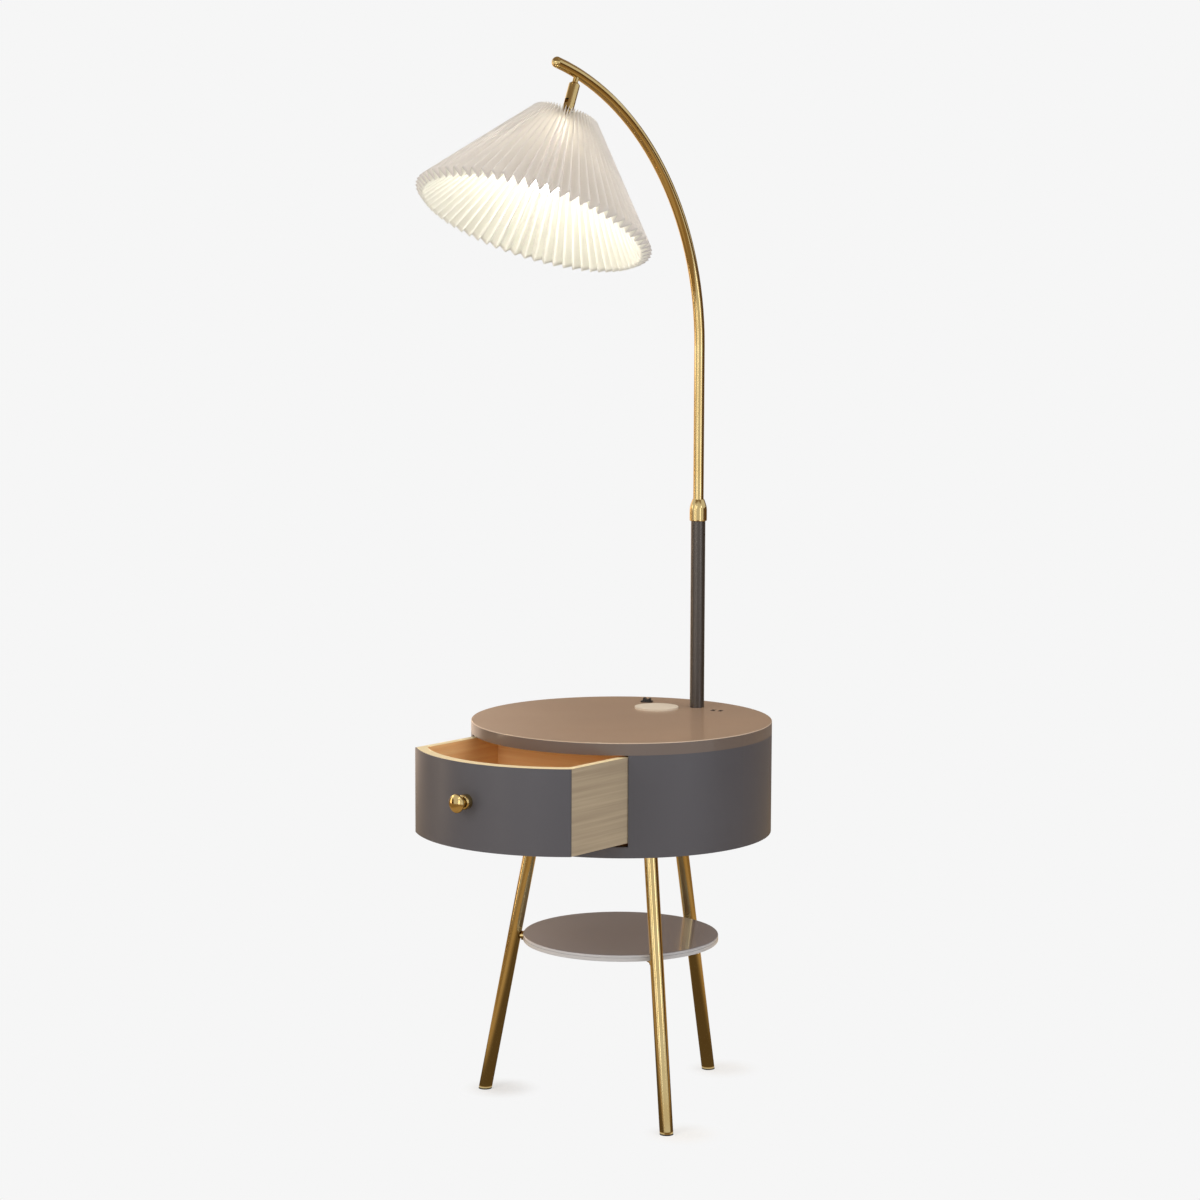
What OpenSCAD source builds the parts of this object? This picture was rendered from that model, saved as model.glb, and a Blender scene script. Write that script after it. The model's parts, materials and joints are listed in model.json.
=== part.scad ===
// Arc floor lamp with a round side table.
// A drum on three splayed legs holds a drawer; a pole through the drum carries a telescoping arc
// with a knuckle and a pleated shade. Millimetres, +Z up, standing on z = 0.

/* [Table] */
// Diameter of the drum
table_d = 450; // [420:5:520]
// Height of the table's top face
table_h = 580; // [500:5:680]
// Height of the drum with its top board
drum_h = 167; // [150:1:220]
// Thickness of the top board
top_t = 18; // [15:1:24]
// Thickness of the bent drum wall
wall_t = 12; // [9:1:14]
// Thickness of the drum's floor board
floor_t = 16; // [14:1:20]
// Thickness of the boards round the drawer bay
bay_t = 12; // [9:1:14]

/* [Drawer] */
// Width of the drawer front between its ends
drawer_w = 290.8; // [240:0.2:296]
// Depth from the front's corner to the outside of the back
drawer_l = 183; // [160:1:190]
// How far the drawer is pulled out at rest
drawer_out = 128; // [0:1:140]
// Thickness of the curved drawer front with its facing
front_t = 18; // [15:1:22]
// Thickness of the lacquered facing
facing_t = 2; // [1:0.5:3]
// Thickness of the drawer's sides and back
side_t = 12; // [9:1:15]
// Thickness of the drawer's bottom panel
panel_t = 5; // [4:0.5:6]
// Gap between the drawer front and the top board
drawer_gap_top = 2.7; // [1:0.1:4]
// Gap between the drawer front and the floor board
drawer_gap_low = 6; // [2:0.5:7]
// Height of the knob above the drawer's lower edge
knob_up = 69.5; // [50:0.5:80]
// Diameter of the knob's head
knob_d = 27; // [22:0.5:32]
// How far the knob stands out
knob_l = 26.5; // [24:0.5:32]

/* [Legs and shelf] */
// Diameter of the leg tubes
leg_d = 20; // [16:0.5:24]
// Wall of the leg tubes
leg_wall = 1.2; // [1:0.1:2]
// Radius of the leg axes under the drum
leg_top_r = 132; // [110:1:150]
// Radius of the leg axes at the floor
foot_r = 210.5; // [190:0.5:240]
// Turn of the leg set against the drawer's centre line
leg_turn = -3; // [-10:1:10]
// Gap between the shelf's edge and the legs
shelf_gap = 5; // [4:0.1:8]
// Thickness of the shelf
shelf_t = 10; // [8:0.5:16]
// Height of the shelf's top face
shelf_h = 253; // [200:1:300]

/* [Pole and arc] */
// Place of the pole's axis, to the right of the table's middle
pole_x = 18.2; // [0:0.1:30]
// Place of the pole's axis, behind the table's middle
pole_y = 163.9; // [150:0.1:176]
// Diameter of the dark lower tube
sleeve_d = 22; // [21:0.5:25]
// Height of the dark tube above the table top
sleeve_up = 287; // [200:1:400]
// Diameter of the brass arc tube
arc_d = 16; // [15:0.5:17]
// Wall of the brass arc tube
arc_wall = 1.2; // [1:0.1:1.8]
// Length of the brass tube inside the dark tube at rest
arc_sunk = 250; // [200:5:270]
// Height where the straight tube turns into the arc
arc_start = 1132.7; // [1000:0.1:1250]
// Radius of the arc's centre line
arc_r = 424.6; // [380:0.1:450]
// Angle that the arc covers
arc_angle = 75.1; // [72:0.1:80]
// Angle of the stem along the arc
stem_angle = 69; // [64:0.1:71]
// Swivel of the arm about the pole at rest
arm_turn = -4; // [-30:1:30]

/* [Knuckle and shade] */
// Distance from the arc's centre line to the knuckle's pivot
pivot_drop = 49; // [46:0.1:60]
// Diameter of the stem and its fork
fork_d = 16.2; // [15:0.1:18]
// Width of the fork's slot
slot_w = 7; // [6:0.5:8]
// Lean of the shade's axis at rest
shade_tilt = 24.2; // [0:0.1:30]
// Radius of the outer folds at the rim
rim_r = 175.4; // [150:0.1:190]
// Radius of the outer folds at the top
crown_r = 48.7; // [46:0.1:56]
// Height of the shade along its axis
shade_h = 161; // [140:0.1:180]
// Distance from the pivot down to the shade's top edge
crown_drop = 17.6; // [16:0.1:22]
// Number of pleats
pleats = 68; // [48:1:80]
// Width of one flat panel between two folds
pleat_w = 17.65; // [14:0.05:19]
// Radius of the bulb
bulb_r = 30; // [22:0.5:32]

/* [Table fittings] */
// Diameter of the charging pad
charger_d = 67; // [56:1:76]
// Place of the charging pad from the drum's middle
charger_at = [-23.4, 116.4];
// Place of the two charging ports
port_at = [62.6, 155.7];
// Turn of the two charging ports
port_turn = 20; // [-30:5:40]
// Place of the rocker switch
switch_at = [-72, 155];
// Turn of the rocker switch
switch_turn = 25; // [0:5:45]

/* [Hidden] */
$fn = 96;

// Finishes
lacquer = "#57545a";
top_lacquer = "#8a7b6e";
wood = "#b98a55";
brass = "#c29a4b";
graphite = "#47423f";
steel = "#b4b4b6";
rubber = "#2b2724";
black = "#1b1a1a";
ivory = "#e6dccb";
gloss = "#8c837b";
copper = "#b06a3a";
opal = "#fff6dc";
cloth = "#e9e0d8";

// Clearances: glued or screwed joints, running fits, moving and soft neighbours
seat = 0.1;
run = 0.05;
slack = 0.3;
// Overshoot of a cutting tool
over = 1;

drum_r = table_d / 2;
drum_z = table_h - drum_h;
inner_r = drum_r - wall_t;
floor_z = drum_z + floor_t;
top_z = table_h - top_t;
top_edge = 1.5;

drawer_half = drawer_w / 2;
// The opening is wider than the drawer front by this gap at each end
end_gap = 1.3;
open_half = drawer_half + end_gap;
drawer_z = floor_z + drawer_gap_low;
drawer_top = top_z - drawer_gap_top;
// The closed drawer's front corner and back, from the drum's middle
corner_y = -sqrt(pow(drum_r, 2) - pow(drawer_half, 2));
back_y = corner_y + drawer_l;
bay_gap = 8;
bay_y = back_y + bay_gap;
front_in_r = drum_r - front_t;
// The bottom panel runs in grooves this deep, this far above the lower edge
groove = 5;
panel_up = 16;
panel_z = drawer_z + panel_up;

runner_x = 100;
channel_w = 24;
channel_h = 9;
channel_t = 2;
channel_lip = 5;
// The runners and rails end just behind the closed drawer's front
channel_gap = 2;
channel_front = channel_gap - sqrt(pow(front_in_r, 2) - pow(runner_x + channel_w / 2, 2));
channel_back = bay_y - 1;
channel_hole = 20;
runner_screw_y = [channel_front + channel_hole, (channel_front + channel_back) / 2,
  channel_back - channel_hole];
wood_screw_r = 1.9;
wood_screw_l = 11;
screw_head_r = 3.6;
screw_head_t = 1.8;

leg_r = leg_d / 2;
leg_in_r = leg_r - leg_wall;
leg_lean = atan((foot_r - leg_top_r) / drum_z);
leg_angles = [90 + leg_turn, 210 + leg_turn, 330 + leg_turn];
plate_t = 3;
plate_r = 30;
plate_hole_r = 22;
stub_l = 26;
pad_t = 2;
plug_l = 16;

// The shelf rests on pins that lie in grooves this deep and this long
pin_r = 4.5;
pin_sunk = 3;
pin_bearing = 20;
pin_z = shelf_h - shelf_t - pin_r + pin_sunk;
shoulder_r = 7;
shoulder_t = 3;
shelf_edge = 1.6;
// The seam between the shelf's top layer and its board
seam_t = 0.5;
seam_up = 5.6;
shelf_r = leg_r_at(shelf_h) - leg_r / cos(leg_lean) - shelf_gap;

sleeve_r = sleeve_d / 2;
sleeve_top = table_h + sleeve_up;
arc_tube_r = arc_d / 2;
arc_in_r = arc_tube_r - arc_wall;
// The dark tube's bore leaves room for a bush of this wall round the brass tube
bush_wall = 1;
bore_r = arc_tube_r + bush_wall;
thread_cut = 0.9;
thread_r = sleeve_r - thread_cut;
thread_l = 16;
nut_wall = 2.5;
nut_r = sleeve_r + nut_wall;
nut_h = 33;
collet_h = 12;
collet_l = 10;
bush_h = 30;
bush_lip = 2;
socket_base_t = 4;
socket_base_r = 24;
socket_r = 15;
socket_h = 34;

pivot_y = -arc_r + (arc_r - pivot_drop) * cos(stem_angle);
pivot_z = arc_start + (arc_r - pivot_drop) * sin(stem_angle);
fork_r = fork_d / 2;
neck_r = 4.2;
neck_l = 9.3;
neck_z = pivot_drop - arc_tube_r - neck_l;
shoulder_cut = 2;
tongue_t = slot_w - 2 * slack;
tongue_r = fork_r - 1.5;
tongue_gap = 1.2;
pin_hole_r = 2;

// The shade's slant line: its length and its direction in radius and height
slant = sqrt(pow(rim_r - crown_r, 2) + pow(shade_h, 2));
slant_r = (rim_r - crown_r) / slant;
slant_z = shade_h / slant;
// The shade's skin, measured across the slant, at the top and at the rim
skin_top = 4;
skin_rim = 1.7;

// Heights on the shade's axis, counted down from the pivot
collar_gap = 0.8;
collar_h = 5.7;
collar_top = fork_r + collar_gap;
collar_low = collar_top + collar_h;
stub_r = 5;
lock_nut_r = 9;
lock_nut_h = 5;
cap_r = 21;
cap_edge = 8;
cap_low = crown_drop + 13.3;
cap_wall = 1.2;
holder_r = cap_r - cap_wall - 0.2;
holder_top = collar_low + 9.3;
holder_low = cap_low + 26;
bulb_base_r = 13.2;
bulb_base_l = 27;
bulb_wall = 1;
// The bulb's shoulder stands out of the holder by this, its globe's middle lies further down
bulb_out = 1;
bulb_drop = 48;
hub_t = 3;
hub_r = 24;
nut_ring_h = 6.5;

// The box's middle in plan is the origin: from the knob or the shade to the drum's back
knob_reach = drum_r + drawer_out + knob_l;
shade_reach = (arc_r - (arc_r - pivot_drop) * cos(stem_angle)
  + (crown_drop + shade_h) * sin(shade_tilt) + rim_r * cos(shade_tilt)) * cos(arm_turn) - pole_y;
middle_y = (max(knob_reach, shade_reach) - drum_r) / 2;

// Placing

module placed() translate([0, middle_y, 0]) children();

// Pole axis, with the arc rising towards -Y
module at_pole() placed() translate([pole_x, pole_y, 0]) children();

module on_arm() at_pole() rotate([0, 0, arm_turn]) children();

// Pivot, with +Z along the stem towards the tube
module on_stem() on_arm() translate([0, pivot_y, pivot_z]) rotate([stem_angle - 90, 0, 0]) children();

// Pivot, with +Z along the shade's axis
module on_head() on_arm() translate([0, pivot_y, pivot_z]) rotate([-shade_tilt, 0, 0]) children();

module on_drawer() placed() translate([0, -drawer_out, 0]) children();

// One leg's frame, with +X outwards
module at_leg(i) placed() rotate([0, 0, leg_angles[i]]) children();

// The leg's own axis, +Z up the leg, from the drum's underside
module along_leg() translate([leg_top_r, 0, drum_z]) rotate([0, -leg_lean, 0]) children();

module between(z0, z1) intersection() {
  children();
  translate([-2 * drum_r, -2 * drum_r, z0]) cube([4 * drum_r, 4 * drum_r, z1 - z0]);
}

// Shapes used more than once

module tube(r, r_in, h) difference() {
  cylinder(r = r, h = h);
  translate([0, 0, -over]) cylinder(r = r_in, h = h + 2 * over);
}

module rounded_block(w, d, h, r) {
  translate([-w / 2 + r, -d / 2, 0]) cube([w - 2 * r, d, h]);
  translate([-w / 2, -d / 2 + r, 0]) cube([w, d - 2 * r, h]);
  for (x = [-1, 1], y = [-1, 1]) translate([x * (w / 2 - r), y * (d / 2 - r), 0])
    cylinder(r = r, h = h, $fn = 32);
}

// Points on a rounded edge about (r, z), from one angle to another
function corner(r, z, edge, from, to) =
  [for (f = [0 : 1 / 6 : 1]) let (a = from + (to - from) * f) [r + edge * cos(a), z + edge * sin(a)]];

// Head down, shank up
module wood_screw() {
  translate([0, 0, -screw_head_t]) cylinder(r = screw_head_r, h = screw_head_t, $fn = 32);
  cylinder(r = wood_screw_r, h = wood_screw_l, $fn = 32);
}

// A hole for the shank, a little deeper than the screw reaches
module pilot(l) translate([0, 0, -over])
  cylinder(r = wood_screw_r + seat, h = l + over + 0.5, $fn = 32);

module shank_hole(t) translate([0, 0, -over])
  cylinder(r = wood_screw_r + seat, h = t + 2 * over, $fn = 32);

module plate_holes() for (a = [45 : 90 : 315]) rotate([0, 0, a]) translate([plate_hole_r, 0, 0])
  children();

module socket_holes() for (a = [0 : 120 : 240]) rotate([0, 0, a + 90])
  translate([(socket_r + socket_base_r) / 2, 0, 0]) children();

// Drum

dowel_r = 3;
dowel_l = 20;
dowel_angles = [-35, 15, 60, 120, 165, 215];
module dowel_places() for (a = dowel_angles) rotate([0, 0, a])
  translate([drum_r - wall_t / 2, 0, top_z - dowel_l / 2]) children();

// The fittings' flanges lie this deep in the top board
rebate = 2;
pad_rim = 3.5;
pad_r = charger_d / 2 - pad_rim;
pad_up = 2.6;
pad_floor = 2;
pad_h = top_t - pad_floor + pad_up;
lid_t = 2;
coil_r = pad_r - 3;
coil_in_r = 9;
coil_t = 2;
post_r = 6;
// The ports: their openings, the block under the board's skin, and the tongues
usb_w = 13.4;
usb_t = 6.2;
port_gap = 11.7;
port_w = 32;
port_l = 20;
port_h = 14;
port_skin = 2;
// The switch: its flange, the body through the board and the rocker's well
bezel_w = 18.4;
bezel_l = 12.4;
bezel_up = 2;
bezel_corner = 2.5;
body_w = 15.4;
body_l = 10.4;
body_h = 14;
well_w = 13.6;
well_l = 8;
well_h = 8;

module at_charger() placed() translate([charger_at[0], charger_at[1], 0]) children();
module at_ports() placed() translate([port_at[0], port_at[1], 0]) rotate([0, 0, port_turn]) children();
module at_switch() placed() translate([switch_at[0], switch_at[1], 0]) rotate([0, 0, switch_turn])
  children();

module port_slots(w, t, h) for (s = [-1, 1]) translate([s * port_gap / 2 - t / 2, -w / 2, 0])
  cube([t, w, h]);

module table_top() color(top_lacquer) difference() {
  placed() translate([0, 0, top_z]) rotate_extrude($fn = 180) polygon(concat(
    [[0, 0], [drum_r, 0]],
    corner(drum_r - top_edge, top_t - top_edge, top_edge, 0, 90),
    [[0, top_t]]
  ));
  at_pole() translate([0, 0, top_z - over]) cylinder(r = sleeve_r + seat, h = top_t + 2 * over);
  at_charger() {
    translate([0, 0, top_z - over]) cylinder(r = charger_d / 2 - rebate, h = top_t + 2 * over);
    translate([0, 0, table_h - rebate]) cylinder(r = charger_d / 2 + seat, h = rebate + over);
  }
  at_ports() {
    translate([-port_w / 2 - seat, -port_l / 2 - seat, top_z - over])
      cube([port_w + 2 * seat, port_l + 2 * seat, top_t - port_skin + over]);
    translate([0, 0, top_z]) port_slots(usb_w, usb_t, top_t + over);
  }
  at_switch() {
    translate([-body_w / 2 - seat, -body_l / 2 - seat, top_z - over])
      cube([body_w + 2 * seat, body_l + 2 * seat, top_t + 2 * over]);
    translate([0, 0, table_h - rebate])
      rounded_block(bezel_w + 2 * seat, bezel_l + 2 * seat, rebate + over, bezel_corner);
  }
  placed() dowel_places() cylinder(r = dowel_r + seat, h = dowel_l + seat, $fn = 32);
}

module drum_wall() color(lacquer) placed() difference() {
  translate([0, 0, drum_z]) difference() {
    cylinder(r = drum_r, h = drum_h - top_t, $fn = 180);
    translate([0, 0, -over]) cylinder(r = inner_r, h = drum_h, $fn = 180);
  }
  translate([-open_half, -drum_r - over, floor_z]) cube([2 * open_half, drum_r, drum_h]);
  dowel_places() translate([0, 0, -seat]) cylinder(r = dowel_r + seat, h = dowel_l, $fn = 32);
}

module drum_floor() color(wood) difference() {
  placed() translate([0, 0, drum_z]) cylinder(r = inner_r - seat, h = floor_t, $fn = 180);
  for (i = [0 : 2]) at_leg(i) translate([leg_top_r, 0, drum_z]) plate_holes()
    pilot(wood_screw_l - plate_t);
  at_pole() translate([0, 0, floor_z]) socket_holes() mirror([0, 0, 1])
    pilot(wood_screw_l - socket_base_t);
  placed() translate([grommet_at[0], grommet_at[1], drum_z - over])
    cylinder(r = grommet_r, h = floor_t + 2 * over, $fn = 48);
  placed() runner_screw_places() mirror([0, 0, 1]) pilot(wood_screw_l - channel_t);
}

module top_dowels() color(wood) placed() dowel_places() cylinder(r = dowel_r, h = dowel_l, $fn = 32);

module bay_side(s) color(wood) placed() intersection() {
  translate([s > 0 ? open_half : -open_half - bay_t, -drum_r, floor_z])
    cube([bay_t, drum_r + bay_y, top_z - floor_z]);
  translate([0, 0, drum_z]) cylinder(r = inner_r - seat, h = drum_h, $fn = 180);
}
module bay_side_left() bay_side(-1);
module bay_side_right() bay_side(1);

module bay_back() color(wood) placed() translate([-open_half - bay_t, bay_y, floor_z])
  cube([2 * (open_half + bay_t), bay_t, top_z - floor_z]);

// Runners: a lipped steel channel on the floor board holds a captive rail under the drawer

module channel_section() difference() {
  translate([-channel_w / 2, 0]) square([channel_w, channel_h]);
  translate([channel_t - channel_w / 2, channel_t])
    square([channel_w - 2 * channel_t, channel_h - 2 * channel_t]);
  translate([channel_t + channel_lip - channel_w / 2, channel_t])
    square([channel_w - 2 * (channel_t + channel_lip), channel_h]);
}

module rail_section() {
  foot_w = channel_w - 2 * channel_t - 2 * slack;
  foot_t = channel_h - 2 * channel_t - 2 * slack;
  web_w = channel_w - 2 * (channel_t + channel_lip) - 2 * slack;
  rail_h = panel_z - floor_z;
  translate([-foot_w / 2, channel_t + slack]) square([foot_w, foot_t]);
  translate([-web_w / 2, channel_t + slack]) square([web_w, rail_h - channel_t - slack]);
  translate([-channel_w / 2, rail_h - channel_t]) square([channel_w, channel_t]);
}

// Draws a section in XZ and runs it along Y
module run_y(y0, y1) translate([0, y1, 0]) rotate([90, 0, 0]) linear_extrude(y1 - y0) children();

module runner_screw_places() for (s = [-1, 1], y = runner_screw_y)
  translate([s * runner_x, y, floor_z]) children();

module runner(s) color(steel) placed() difference() {
  translate([s * runner_x, 0, floor_z]) run_y(channel_front, channel_back) channel_section();
  runner_screw_places() {
    shank_hole(channel_t - over);
    // A countersink, so that the flat head stays below the rail
    translate([0, 0, channel_t / 2]) cylinder(r = screw_head_r, h = channel_t, $fn = 32);
  }
}
module runner_left() runner(-1);
module runner_right() runner(1);

module runner_screws() color(steel) placed() runner_screw_places() {
  translate([0, 0, channel_t / 2])
    cylinder(r = screw_head_r - seat, h = channel_t / 2 - seat, $fn = 32);
  translate([0, 0, channel_t - wood_screw_l])
    cylinder(r = wood_screw_r, h = wood_screw_l - channel_t / 2, $fn = 32);
}

module drawer_rail(s) color(steel) on_drawer()
  translate([s * runner_x, 0, floor_z]) run_y(channel_front, back_y) rail_section();
module drawer_rail_left() drawer_rail(-1);
module drawer_rail_right() drawer_rail(1);

// Drawer

module front_block(z0, z1) translate([-drawer_half, -drum_r - over, z0])
  cube([2 * drawer_half, drum_r, z1 - z0]);

// A bent board between two radii, with the hole for the knob's screw
module bent_board(r, r_in) difference() {
  intersection() {
    front_block(drawer_z, drawer_top);
    difference() {
      translate([0, 0, drawer_z]) cylinder(r = r, h = drawer_top - drawer_z, $fn = 180);
      translate([0, 0, drawer_z - over])
        cylinder(r = r_in, h = drawer_top - drawer_z + 2 * over, $fn = 180);
    }
  }
  translate([0, 0, drawer_z + knob_up]) rotate([90, 0, 0])
    cylinder(r = knob_screw_r + slack, h = drum_r + over, $fn = 32);
}

module drawer_front() color(wood) on_drawer() difference() {
  bent_board(drum_r - facing_t, front_in_r);
  panel_body(groove, seat);
}

module drawer_facing() color(lacquer) on_drawer() bent_board(drum_r, drum_r - facing_t);

// The bottom panel, grown by its grooves' depth and clearance
module panel_body(reach, gap) translate([0, 0, panel_z - gap]) intersection() {
  cylinder(r = front_in_r + reach, h = panel_t + 2 * gap, $fn = 180);
  translate([-(drawer_half - side_t + reach), -drum_r, 0])
    cube([2 * (drawer_half - side_t + reach), drum_r + back_y, panel_t + 2 * gap]);
}

module drawer_side(s) color(wood) on_drawer() difference() {
  intersection() {
    translate([s > 0 ? drawer_half - side_t : -drawer_half, -drum_r, drawer_z])
      cube([side_t, drum_r + back_y, drawer_top - drawer_z]);
    translate([0, 0, drawer_z]) cylinder(r = front_in_r, h = drawer_top - drawer_z, $fn = 180);
  }
  panel_body(groove, seat);
}
module drawer_side_left() drawer_side(-1);
module drawer_side_right() drawer_side(1);

module drawer_back() color(wood) on_drawer()
  translate([side_t - drawer_half, back_y - side_t, panel_z + panel_t])
    cube([2 * (drawer_half - side_t), side_t, drawer_top - panel_z - panel_t]);

module drawer_bottom() color(wood) on_drawer() panel_body(groove - 2 * seat, 0);

// The knob's outline starts at the facing: foot, neck, the head's underside, rim and shallow dome
knob_foot_r = 11;
knob_foot_h = 10;
knob_foot_edge = 3;
knob_neck_r = 6.2;
knob_neck_h = 6;
knob_under_r = 11.7;
knob_under_h = 2.5;
knob_rim = 1.8;
knob_dome = 2.8;
knob_screw_r = 1.9;
knob_screw_in = 10;
knob_screw_head_r = 4;
knob_screw_head_t = 2.4;

module knob() color(brass) on_drawer() translate([0, -drum_r, drawer_z + knob_up]) rotate([90, 0, 0])
  difference() {
    rim_z = knob_l - knob_dome - knob_rim;
    dome_r = knob_d / 2 - knob_rim / 2;
    neck_z = knob_foot_h + knob_neck_h;
    rotate_extrude() polygon(concat(
      [[0, 0], [knob_foot_r, 0]],
      corner(knob_foot_r - knob_foot_edge, knob_foot_h - knob_foot_edge, knob_foot_edge, 0, 80),
      [[knob_neck_r, knob_foot_h + 0.4], [knob_neck_r, neck_z], [knob_under_r, neck_z + knob_under_h]],
      corner(knob_d / 2 - knob_rim, rim_z, knob_rim, -60, 60),
      [for (f = [0.8 : -0.1 : 0]) [dome_r * f, knob_l - knob_dome * f * f]]
    ));
    translate([0, 0, -over])
      cylinder(r = knob_screw_r + seat, h = knob_screw_in + 2 + over, $fn = 32);
  }

module knob_screw() color(steel) on_drawer() translate([0, 0, drawer_z + knob_up]) rotate([90, 0, 0])
  translate([0, 0, front_in_r - knob_screw_head_t]) {
    cylinder(r = knob_screw_head_r, h = knob_screw_head_t - seat, $fn = 32);
    cylinder(r = knob_screw_r, h = knob_screw_head_t + front_t + knob_screw_in, $fn = 32);
  }

// Legs: lengths along the leg are drawn too long and cut level
long_l = 1.5 * drum_z;

module leg(i) color(brass) at_leg(i) difference() {
  between(pad_t, drum_z - plate_t) along_leg() translate([0, 0, -long_l])
    tube(leg_r, leg_in_r, 2 * long_l);
  translate([0, 0, pin_z]) rotate([0, 90, 0])
    cylinder(r = pin_r + run, h = leg_r_at(pin_z), $fn = 32);
}
module leg_back() leg(0);
module leg_front_left() leg(1);
module leg_front_right() leg(2);

function leg_r_at(z) = leg_top_r + (foot_r - leg_top_r) * (drum_z - z) / drum_z;

module leg_plate(i) color(graphite) at_leg(i) {
  translate([leg_top_r, 0, drum_z - plate_t]) difference() {
    cylinder(r = plate_r, h = plate_t);
    plate_holes() shank_hole(plate_t);
  }
  between(drum_z - plate_t - stub_l, drum_z - plate_t) along_leg() translate([0, 0, -2 * stub_l])
    cylinder(r = leg_in_r - seat, h = 3 * stub_l);
}
module leg_plate_back() leg_plate(0);
module leg_plate_front_left() leg_plate(1);
module leg_plate_front_right() leg_plate(2);

module leg_screws() color(steel) for (i = [0 : 2]) at_leg(i)
  translate([leg_top_r, 0, drum_z - plate_t]) plate_holes() wood_screw();

module foot(i) color(rubber) at_leg(i) {
  between(0, pad_t) along_leg() translate([0, 0, -long_l]) cylinder(r = leg_r, h = long_l);
  between(pad_t, pad_t + plug_l) along_leg() translate([0, 0, -long_l])
    cylinder(r = leg_in_r - seat, h = long_l);
}
module foot_back() foot(0);
module foot_front_left() foot(1);
module foot_front_right() foot(2);

// Shelf: it lies on three pins that bear in short grooves

module shelf() color(gloss) difference() {
  placed() translate([0, 0, shelf_h - shelf_t]) rotate_extrude($fn = 180) polygon(concat(
    [[0, 0]],
    corner(shelf_r - shelf_edge, shelf_edge, shelf_edge, -90, 0),
    [[shelf_r, seam_up], [shelf_r - seam_t, seam_up + seam_t / 2], [shelf_r, seam_up + seam_t]],
    corner(shelf_r - shelf_edge, shelf_t - shelf_edge, shelf_edge, 0, 90),
    [[0, shelf_t]]
  ));
  for (i = [0 : 2]) at_leg(i) translate([shelf_r - pin_bearing - over, 0, pin_z]) rotate([0, 90, 0])
    cylinder(r = pin_r + seat, h = pin_bearing + 2 * over, $fn = 32);
}

module shelf_pins() color(brass) for (i = [0 : 2]) at_leg(i) {
  skin = leg_r_at(pin_z) - leg_r / cos(leg_lean) - shoulder_r * tan(leg_lean);
  translate([shelf_r - pin_bearing, 0, pin_z]) rotate([0, 90, 0])
    cylinder(r = pin_r, h = leg_r_at(pin_z) - shelf_r + pin_bearing - 3, $fn = 32);
  translate([skin - shoulder_t - run, 0, pin_z]) rotate([0, 90, 0])
    cylinder(r = shoulder_r, h = shoulder_t, $fn = 32);
}

// Fittings in the top board

module charger_housing() color(ivory) at_charger() difference() {
  union() {
    translate([0, 0, table_h - rebate]) cylinder(r = charger_d / 2, h = rebate + pad_up);
    translate([0, 0, top_z]) cylinder(r = charger_d / 2 - rebate - seat, h = top_t);
  }
  translate([0, 0, top_z + pad_floor]) cylinder(r = pad_r + seat, h = top_t + pad_up);
}

// A lid with a collar that carries it on the housing's floor, flush with the rim
module charger_pad() color(ivory) at_charger() translate([0, 0, top_z + pad_floor]) difference() {
  cylinder(r = pad_r, h = pad_h);
  translate([0, 0, -over]) cylinder(r = pad_r - lid_t, h = pad_h - lid_t + over);
}

// The winding on its ferrite plate, on a post that stands on the housing's floor
module charger_coil() color(copper) at_charger() translate([0, 0, top_z + pad_floor]) {
  post = pad_h - lid_t - 2 * coil_t - slack;
  cylinder(r = post_r, h = post);
  translate([0, 0, post]) cylinder(r = coil_r, h = coil_t);
  translate([0, 0, post + coil_t]) tube(coil_r - 2, coil_in_r, coil_t);
}

module port_block() color(black) at_ports() difference() {
  translate([-port_w / 2, -port_l / 2, table_h - port_skin - port_h])
    cube([port_w, port_l, port_h]);
  translate([0, 0, table_h - port_h]) port_slots(usb_w, usb_t, port_h + over);
}

// The tongues stand on the bottom of each port
module port_tongues() color(black) at_ports() translate([0, 0, table_h - port_h])
  port_slots(usb_w - 2, 1.8, port_h - 4.6);

// The rocker turns on an axle this high above the board
axle_up = 0.5;
axle_r = 1;
rocker_half = 6;
rocker_up = 6;
rocker_low = 5;
rocker_dish = 2.2;
rocker_rest = 6;

module switch_bezel() color(black) at_switch() difference() {
  union() {
    translate([0, 0, table_h - rebate])
      rounded_block(bezel_w, bezel_l, rebate + bezel_up, bezel_corner);
    translate([-body_w / 2, -body_l / 2, table_h - body_h]) cube([body_w, body_l, body_h]);
  }
  translate([-well_w / 2, -well_l / 2, table_h - well_h])
    cube([well_w, well_l, well_h + bezel_up + over]);
  translate([0, 0, table_h + axle_up]) rotate([90, 0, 0])
    cylinder(r = axle_r + run, h = well_l + 2, center = true, $fn = 32);
}

// Two raised ends with a dished middle, and a keel that carries the contacts
module switch_rocker() color(black) at_switch() translate([0, 0, table_h + axle_up])
  rotate([0, rocker_rest, 0]) rotate([90, 0, 0]) {
    keel = rocker_half * 0.45;
    linear_extrude(well_l - 2 * slack, center = true) polygon(concat(
      [[-keel, -rocker_low], [keel, -rocker_low], [rocker_half, -1]],
      corner(rocker_half - 1, rocker_up - 1, 1, 0, 90),
      [[rocker_half * 0.65, rocker_up]],
      [for (x = [0.5 : -0.25 : -0.5]) [rocker_half * x, rocker_up - rocker_dish * cos(180 * x)]],
      [[-rocker_half * 0.65, rocker_up]],
      corner(1 - rocker_half, rocker_up - 1, 1, 90, 180),
      [[-rocker_half, -1]]
    ));
    cylinder(r = axle_r, h = well_l + 2 - 2 * seat, center = true, $fn = 32);
  }

supply_w = 90;
supply_l = 46;
supply_h = 30;
supply_x = -55;
supply_edge = 5;
rib_w = 5;

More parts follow.
